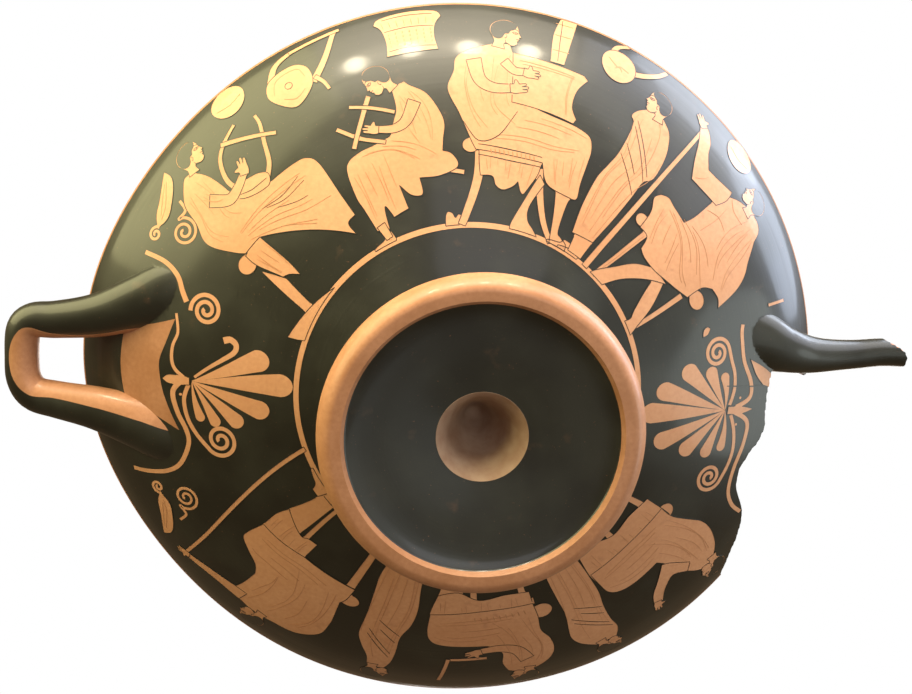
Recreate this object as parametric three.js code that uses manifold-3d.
// A wide, shallow drinking cup of the continuous-curve kind, thrown in clay on a wheel and fired as one
// piece: hollow foot, short stem, thin open bowl, and a horseshoe handle pressed on at each side.
// One handle is whole. The other has lost its cross bar and one arm, and the rim below it is chipped out.
// Units are millimetres. +Z is up, the cup stands on its foot, and the handles lie along X.

import * as THREE from 'three';
import { mergeVertices } from 'three/addons/utils/BufferGeometryUtils.js';
import Module from 'manifold-3d';

const wasm = await Module();
wasm.setup();

// ---- The bowl ----
const cupHeight = 113;
const rimRadius = 142;
const lipThickness = 3.6;
const lipMiddle = cupHeight - lipThickness / 2;
const floorHeight = 53;            // top of the bowl's floor at the middle
const turnsAround = 72;            // facets around the wheel-thrown body
const clearOfLip = 4;              // how far the bowl's hollow is cut on above the lip

// ---- The foot and stem ----
const footRadius = 56;
const footEdgeHeight = 8;          // height at which the rounded foot edge is widest
const footTopHeight = 12.5;        // where the rounded edge meets the foot's upper slope
const footShoulder = 4.5;          // how far in the rounded edge reaches over the foot's top
const restOuterRadius = 51;        // the flat ring the cup stands on
const restInnerRadius = 48;
const stemRadius = 14.5;
const stemHeight = 31;
const hollowRadius = 15.8;         // mouth of the cone cut up into the stem
const hollowMouthHeight = 6;
const hollowTopHeight = 39;

// ---- Where the handles pulled the soft rim out of round ----
// Each pull: its direction in radians, how far it draws the rim out, and how wide it spreads.
const pulls = [
  { direction: Math.PI, reach: 7.2, spread: 0.46 },
  { direction: 0.56, reach: 5.0, spread: 0.81 },
];
const pullStartHeight = 60;
const pullStartRadius = 60;
const pullFullRadius = 130;

// ---- The handles ----
const facetsRoundArm = 12;
const stationsAlongHandle = 36;
const rootFlattening = 0.68;       // a root is wider than it is deep where it is smeared on
// Each handle's bar: half width at its root and where it is slim, and how fast it narrows between them.
const wholeBar = { root: 12.8, slim: 6.4, flareLength: 0.25 };
const brokenBar = { root: 13.2, slim: 5.5, flareLength: 0.42 };

// ---- The losses ----
const breakAngle = 0.245;          // direction of the middle of the lost rim piece, from +X towards +Y
const breakRadius = 133;
const breakHeight = 98.5;
const wallLean = 0.76;             // how far the wall leans out from upright at the break
const breakInward = 24;            // where the cut through the wall starts, inside it
const breakDepth = 60;             // and how long it is
const snapHeight = 103.6;          // height of the second handle's broken end
const snapTilt = 0.25;             // how far that end's faces lean, in radians
const snapBlock = 40;              // side of the block that is taken off there

const point = (x, y) => new THREE.Vector2(x, y);

// The outer wall from the stem's waist to the lip, as the potter's rib shaped it.
function outerWall() {
  const waypoints = [
    point(stemRadius, stemHeight),
    point(20, 41),
    point(38, 50),
    point(63, 60),
    point(95, 73.5),
    point(122, 89.2),
    point(135.4, 101.6),
    point(rimRadius, lipMiddle),
  ];
  return new THREE.SplineCurve(waypoints).getPoints(15);
}

// The bowl's inner face from the middle of the floor to the lip.
function innerWall() {
  const waypoints = [
    point(0, floorHeight),
    point(26, floorHeight + 2.6),
    point(60, 65.4),
    point(92, 78.2),
    point(118.8, 93),
    point(131.6, 104.2),
    point(rimRadius - lipThickness, lipMiddle),
  ];
  return new THREE.SplineCurve(waypoints).getPoints(13);
}

// Points on part of a round or an oval, from one angle to another in degrees.
function arc(centreX, centreY, radiusX, radiusY, fromDegrees, toDegrees, steps) {
  const points = [];
  for (let step = 0; step <= steps; step += 1) {
    const angle = THREE.MathUtils.degToRad(fromDegrees + (toDegrees - fromDegrees) * step / steps);
    points.push(point(centreX + radiusX * Math.cos(angle), centreY + radiusY * Math.sin(angle)));
  }
  return points;
}

// The hollow underside of the foot, from the tip of the cone out to the resting ring.
function undersideOfFoot() {
  return [
    point(0, hollowTopHeight),
    point(3.2, hollowTopHeight - 2.5),
    point(8.5, 22),
    point(12.6, 11.5),
    point(hollowRadius, hollowMouthHeight),
    point(28, 4.8),
    point(42, 3.6),
    point(restInnerRadius - 1.4, 2.2),
    point(restInnerRadius, 0),
    point(restOuterRadius, 0),
  ];
}

// The rounded edge of the foot and its slope up to the stem.
function edgeAndTopOfFoot() {
  const lowerRound = arc(restOuterRadius, footEdgeHeight, footRadius - restOuterRadius, footEdgeHeight,
    -72, 0, 4);
  const upperRound = arc(footRadius - footShoulder, footEdgeHeight,
    footShoulder, footTopHeight - footEdgeHeight, 30, 90, 2);
  const slope = new THREE.SplineCurve([
    point(footRadius - 7, footTopHeight + 0.3),
    point(38, 14.6),
    point(24, 18.6),
    point(16.8, 23.6),
    point(stemRadius, stemHeight),
  ]).getPoints(6);
  return [...lowerRound, ...upperRound, ...slope.slice(0, -1)];
}

// Turn a profile round the Z axis; it must start and end on the axis.
function turned(profile) {
  const geometry = new THREE.LatheGeometry(profile, turnsAround);
  geometry.rotateX(Math.PI / 2);
  return geometry;
}

// How far a pull moves the rim in one direction.
function pullTowards({ direction, reach, spread }, angle) {
  const apart = Math.atan2(Math.sin(angle - direction), Math.cos(angle - direction)) / spread;
  return reach * Math.exp(-apart * apart);
}

// Move every corner outward by the handles' pulls, more so the nearer it is to the rim.
function pulledOutOfRound(geometry) {
  const position = geometry.getAttribute('position');
  for (let i = 0; i < position.count; i += 1) {
    const x = position.getX(i);
    const y = position.getY(i);
    const radius = Math.hypot(x, y);
    if (radius < 1) continue;
    const climb = THREE.MathUtils.smoothstep(position.getZ(i), pullStartHeight, cupHeight)
      * THREE.MathUtils.smoothstep(radius, pullStartRadius, pullFullRadius);
    const pull = pulls.reduce((sum, one) => sum + pullTowards(one, Math.atan2(y, x)), 0);
    const growth = 1 + climb * pull / radius;
    position.setXY(i, x * growth, y * growth);
  }
  return geometry;
}

// Hand a closed geometry to the boolean kernel as a solid, turned right side out if it is inside out.
function solidFrom(geometry) {
  let plain = geometry.clone();
  plain.deleteAttribute('normal');
  plain.deleteAttribute('uv');
  plain = mergeVertices(plain, 1e-4);
  const triangles = Uint32Array.from(plain.index.array);
  const vertices = Float32Array.from(plain.getAttribute('position').array);
  const asSolid = () => new wasm.Manifold(new wasm.Mesh({
    numProp: 3, vertProperties: vertices, triVerts: triangles,
  }));
  const solid = asSolid();
  if (solid.volume() > 0) return solid;
  for (let i = 0; i < triangles.length; i += 3) {
    [triangles[i], triangles[i + 1]] = [triangles[i + 1], triangles[i]];
  }
  return asSolid();
}

// A bar along a line, closed at both ends. widthAt gives its half width for each share of its length;
// where it is wider than slim, it is flattened like clay smoothed down by a thumb.
function claybar(line, widthAt, slim, stations) {
  const corners = [];
  const triangles = [];
  for (let i = 0; i <= stations; i += 1) {
    const share = i / stations;
    const centre = line.getPointAt(share);
    const along = line.getTangentAt(share);
    const side = new THREE.Vector3().crossVectors(along, new THREE.Vector3(0, 0, 1)).normalize();
    const up = new THREE.Vector3().crossVectors(side, along);
    const width = widthAt(share);
    const depth = slim + (width - slim) * (1 - rootFlattening);
    for (let j = 0; j < facetsRoundArm; j += 1) {
      const turn = 2 * Math.PI * j / facetsRoundArm;
      const corner = centre.clone().addScaledVector(side, width * Math.cos(turn))
        .addScaledVector(up, depth * Math.sin(turn));
      corners.push(...corner.toArray());
      if (i === stations) continue;
      const next = (j + 1) % facetsRoundArm;
      const here = i * facetsRoundArm;
      const ahead = here + facetsRoundArm;
      triangles.push(here + j, here + next, ahead + next, here + j, ahead + next, ahead + j);
    }
  }
  const last = stations * facetsRoundArm;
  for (let j = 1; j < facetsRoundArm - 1; j += 1) {
    triangles.push(0, j + 1, j, last, last + j, last + j + 1);
  }
  const geometry = new THREE.BufferGeometry();
  geometry.setAttribute('position', new THREE.Float32BufferAttribute(corners, 3));
  geometry.setIndex(triangles);
  return solidFrom(geometry);
}

// Half width that falls from root to slim as the bar leaves the wall.
function flared({ root, slim, flareLength }) {
  return (fromRoot) => slim + (root - slim) * Math.exp(-((fromRoot / flareLength) ** 2));
}

// The whole handle at -X: out along one arm, across, and back along the other.
// Each station gives reach from the cup's axis, the two arms' places across it, and height.
// The two arms differ a little, as a handle bent and pressed on by hand does.
function wholeHandle() {
  const stations = [
    [97, -29.5, 28, 91.5], [112, -28.8, 27.4, 91.5], [125, -23.8, 23.6, 92.6], [141, -17.8, 19.6, 95.4],
    [157, -14.8, 17.4, 98.5], [166, -13.8, 15.6, 100], [170.2, -9.6, 10, 100.6],
  ];
  const out = stations.map(([reach, front, , z]) => new THREE.Vector3(-reach, front, z));
  const back = stations.map(([reach, , behind, z]) => new THREE.Vector3(-reach, behind, z)).reverse();
  const crossBar = new THREE.Vector3(-171, 1.6, 100.8);
  const line = new THREE.CatmullRomCurve3([...out, crossBar, ...back], false, 'centripetal');
  const widthAt = flared(wholeBar);
  return claybar(line, (share) => widthAt(Math.min(share, 1 - share)), wholeBar.slim, stationsAlongHandle);
}

// Everything beyond a flat break through the second handle, at a place and turned on it.
function snappedOff(x, y, turn) {
  const beyond = new THREE.BoxGeometry(snapBlock, snapBlock, snapBlock);
  beyond.translate(snapBlock / 2, 0, 0);
  beyond.rotateZ(turn);
  beyond.rotateY(-snapTilt);
  beyond.translate(x, y, snapHeight);
  return solidFrom(beyond);
}

// What is left of the second handle: one arm, snapped off in two faces where it began to turn across.
function brokenArm() {
  const line = new THREE.CatmullRomCurve3([
    [100, -20.5, 91], [116, -18.5, 91.5], [128, -14.5, 93.2], [141, -11.8, 96.5],
    [158, -11.6, 100.5], [172, -12.6, 102.6], [184, -12.2, snapHeight],
  ].map(([x, y, z]) => new THREE.Vector3(x, y, z)), false, 'centripetal');
  const arm = claybar(line, flared(brokenBar), brokenBar.slim, Math.round(stationsAlongHandle / 2));
  return arm.subtract(snappedOff(179.4, -12.2, -0.25)).subtract(snappedOff(175.8, -15.6, -1));
}

// The wavy outline of the piece that broke out of the rim, pushed straight through the wall.
function lostRimPiece() {
  const outline = new THREE.Shape();
  outline.moveTo(-35, 45);
  outline.splineThru([
    point(-37, 24), point(-35.5, 8), point(-39, -4), point(-36.5, -16.5), point(-24, -17),
    point(-12, -14), point(-4, -17), point(4, -20), point(13, -18),
    point(24, -8), point(36, -2.2), point(48, 2.2), point(58, 12),
  ]);
  outline.lineTo(60, 45);
  const cutter = new THREE.ExtrudeGeometry(outline, {
    depth: breakDepth, bevelEnabled: false, curveSegments: 3,
  });
  cutter.translate(0, 0, -breakInward);
  const outward = new THREE.Vector3(Math.cos(breakAngle), Math.sin(breakAngle), 0);
  const upTheWall = outward.clone().multiplyScalar(Math.sin(wallLean));
  upTheWall.z = Math.cos(wallLean);
  const along = new THREE.Vector3(-Math.sin(breakAngle), Math.cos(breakAngle), 0);
  const throughWall = new THREE.Vector3().crossVectors(along, upTheWall);
  const turn = new THREE.Matrix4().makeBasis(along, upTheWall, throughWall);
  turn.setPosition(outward.x * breakRadius, outward.y * breakRadius, breakHeight);
  return solidFrom(cutter.applyMatrix4(turn));
}

// The whole fired cup: filled body and handles, then the bowl's hollow and the break taken out.
function kylix() {
  const outside = [...undersideOfFoot(), ...edgeAndTopOfFoot(), ...outerWall()];
  const lipTop = arc(rimRadius - lipThickness / 2, lipMiddle, lipThickness / 2, lipThickness / 2, 30, 150, 3);
  const inside = innerWall().reverse();
  const filled = solidFrom(pulledOutOfRound(turned([
    ...outside, ...lipTop, point(rimRadius - lipThickness, lipMiddle), point(0, lipMiddle)])));
  const bowlHollow = solidFrom(pulledOutOfRound(turned([
    point(0, cupHeight + clearOfLip), point(rimRadius - lipThickness, cupHeight + clearOfLip), ...inside])));
  const chipped = filled.add(wholeHandle()).subtract(bowlHollow).subtract(lostRimPiece());
  return chipped.add(brokenArm().subtract(bowlHollow));
}

function meshFrom(solid, name, colour) {
  const { vertProperties, triVerts, numProp } = solid.getMesh();
  const corners = new Float32Array(vertProperties.length / numProp * 3);
  for (let i = 0; i < corners.length / 3; i += 1) {
    corners.set(vertProperties.subarray(i * numProp, i * numProp + 3), i * 3);
  }
  const geometry = new THREE.BufferGeometry();
  geometry.setAttribute('position', new THREE.BufferAttribute(corners, 3));
  geometry.setIndex(new THREE.BufferAttribute(Uint32Array.from(triVerts), 1));
  geometry.computeVertexNormals();
  const mesh = new THREE.Mesh(geometry, new THREE.MeshStandardMaterial({ color: colour, roughness: 0.4 }));
  mesh.name = name;
  return mesh;
}

const cup = new THREE.Group();
cup.name = 'greek_kylix_cup';
cup.add(meshFrom(kylix(), 'kylix', 0x9c5a34));

export default cup;
